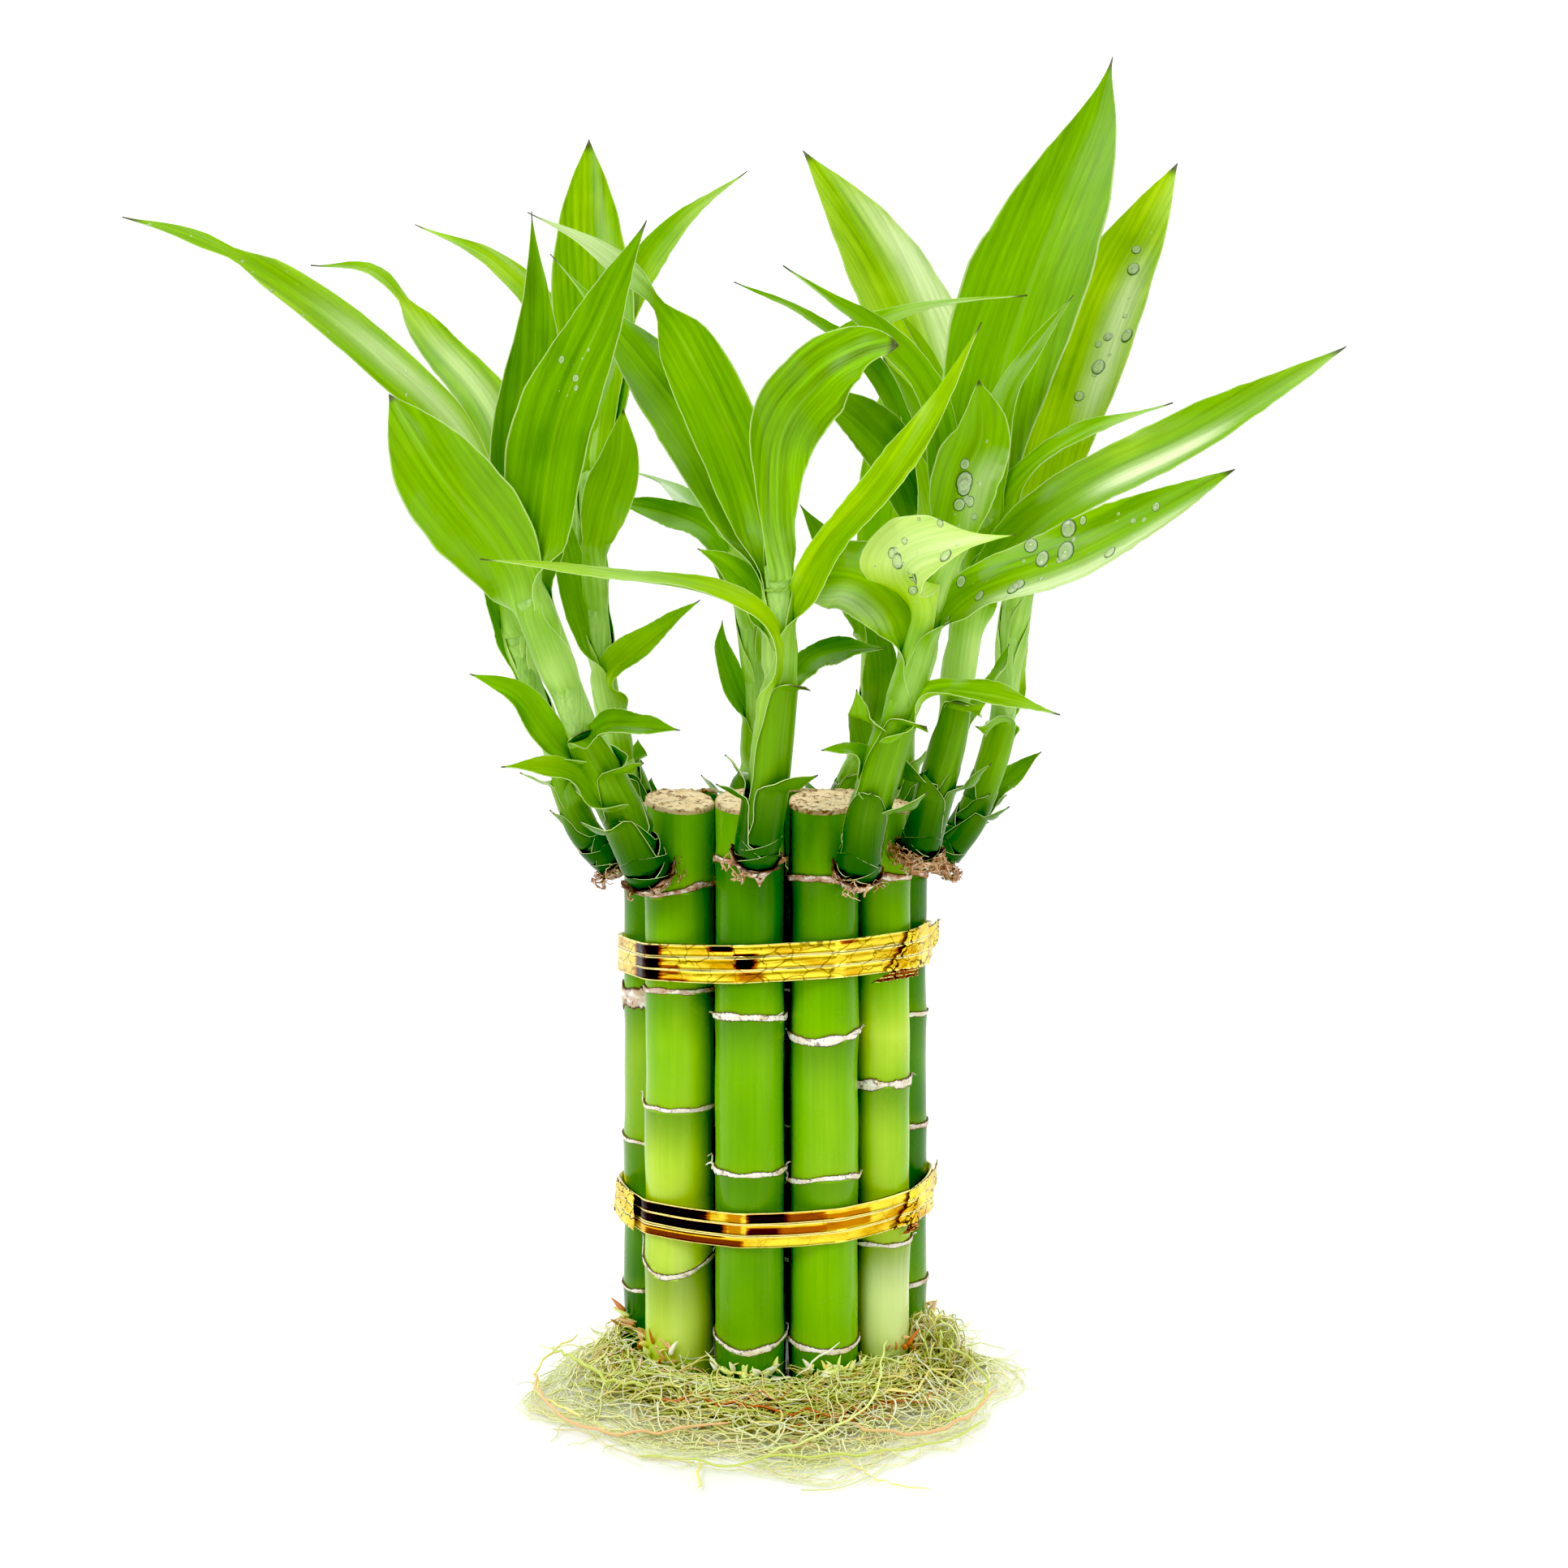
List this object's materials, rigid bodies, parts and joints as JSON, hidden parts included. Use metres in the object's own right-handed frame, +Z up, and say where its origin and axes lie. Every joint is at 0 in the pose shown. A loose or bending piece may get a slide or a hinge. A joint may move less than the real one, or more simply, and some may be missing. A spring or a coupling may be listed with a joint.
{
  "type": "lucky bamboo bundle",
  "caption": "Upright ring of cut green canes held by two flat gold ties, each cane with a leafy shoot at its top and its foot in a loose nest of fine roots.",
  "frame": {"origin": "on the floor, in the middle of the ring of canes, on the flat underside of the root nest", "axes": "+Z up along the canes, -Y towards the front of the bundle, +X to the right as seen from the front"},
  "size_m": [0.2923, 0.1948, 0.3552],
  "materials": {
    "cane": "gloss",
    "leaf_scar": "matte",
    "leaf": "satin",
    "gold_foil": "gloss",
    "root": "matte"
  },
  "bodies": {
    "root": {"cane_01": "cane", "cane_02": "cane", "cane_03": "cane", "cane_04": "cane", "cane_05": "cane", "cane_06": "cane", "cane_07": "cane", "cane_08": "cane", "cane_09": "cane", "cane_10": "cane", "shoot_01": "leaf", "shoot_02": "leaf", "shoot_03": "leaf", "shoot_04": "leaf", "shoot_05": "leaf", "shoot_06": "leaf", "shoot_07": "leaf", "shoot_08": "leaf", "shoot_09": "leaf", "shoot_10": "leaf", "tie_upper": "gold_foil", "tie_lower": "gold_foil", "root_nest": "root"}
  },
  "joints": []
}
